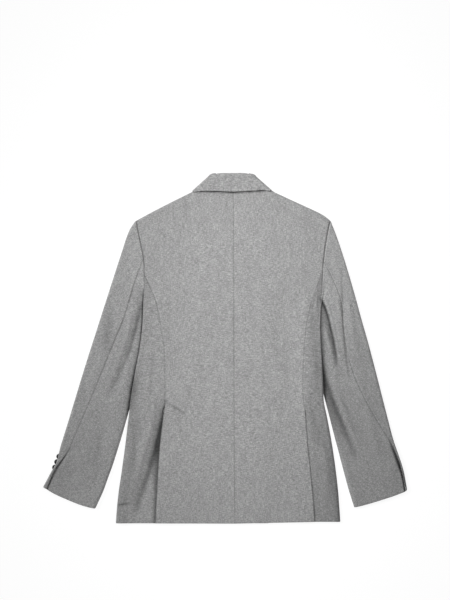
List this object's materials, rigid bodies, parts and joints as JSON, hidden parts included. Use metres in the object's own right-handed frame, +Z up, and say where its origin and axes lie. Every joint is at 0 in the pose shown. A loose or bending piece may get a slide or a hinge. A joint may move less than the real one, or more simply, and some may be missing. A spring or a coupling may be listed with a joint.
{
  "type": "double-breasted blazer laid flat, back up",
  "caption": "Long-sleeved double-breasted blazer in grey flannel, lying flat, back up: turned-down collar, centre-back seam, side vents, two-piece sleeves, cuff slits, dark buttons.",
  "frame": {"origin": "on the resting plane under the centre-back seam, at half the garment's length", "axes": "+X to the wearer's right, across the shoulders; +Y to the neck; +Z up out of the back, away from the resting plane"},
  "size_m": [0.7715, 0.7421, 0.0103],
  "materials": {
    "back_left": "brushed heathered wool flannel",
    "back_right": "brushed heathered wool flannel",
    "side_left": "brushed heathered wool flannel",
    "side_right": "brushed heathered wool flannel",
    "front_left": "brushed heathered wool flannel",
    "front_right": "brushed heathered wool flannel",
    "lapel_left": "brushed heathered wool flannel",
    "lapel_right": "brushed heathered wool flannel",
    "collar_fall": "brushed heathered wool flannel",
    "collar_stand": "brushed heathered wool flannel",
    "sleeve_top_left": "brushed heathered wool flannel",
    "sleeve_top_right": "brushed heathered wool flannel",
    "sleeve_under_left": "brushed heathered wool flannel",
    "sleeve_under_right": "brushed heathered wool flannel",
    "front_button_left_1": "dark satin resin",
    "front_button_left_2": "dark satin resin",
    "front_button_left_3": "dark satin resin",
    "front_button_right_1": "dark satin resin",
    "front_button_right_2": "dark satin resin",
    "front_button_right_3": "dark satin resin",
    "cuff_button_left_1": "dark satin resin",
    "cuff_button_left_2": "dark satin resin",
    "cuff_button_left_3": "dark satin resin",
    "cuff_button_right_1": "dark satin resin",
    "cuff_button_right_2": "dark satin resin",
    "cuff_button_right_3": "dark satin resin"
  },
  "bodies": {
    "root": {"back_left": "back_left", "back_right": "back_right", "side_left": "side_left", "side_right": "side_right", "front_left": "front_left", "front_right": "front_right", "lapel_left": "lapel_left", "lapel_right": "lapel_right", "collar_fall": "collar_fall", "collar_stand": "collar_stand", "sleeve_top_left": "sleeve_top_left", "sleeve_top_right": "sleeve_top_right", "sleeve_under_left": "sleeve_under_left", "sleeve_under_right": "sleeve_under_right", "front_button_left_1": "front_button_left_1", "front_button_left_2": "front_button_left_2", "front_button_left_3": "front_button_left_3", "front_button_right_1": "front_button_right_1", "front_button_right_2": "front_button_right_2", "front_button_right_3": "front_button_right_3", "cuff_button_left_1": "cuff_button_left_1", "cuff_button_left_2": "cuff_button_left_2", "cuff_button_left_3": "cuff_button_left_3", "cuff_button_right_1": "cuff_button_right_1", "cuff_button_right_2": "cuff_button_right_2", "cuff_button_right_3": "cuff_button_right_3"}
  },
  "joints": []
}
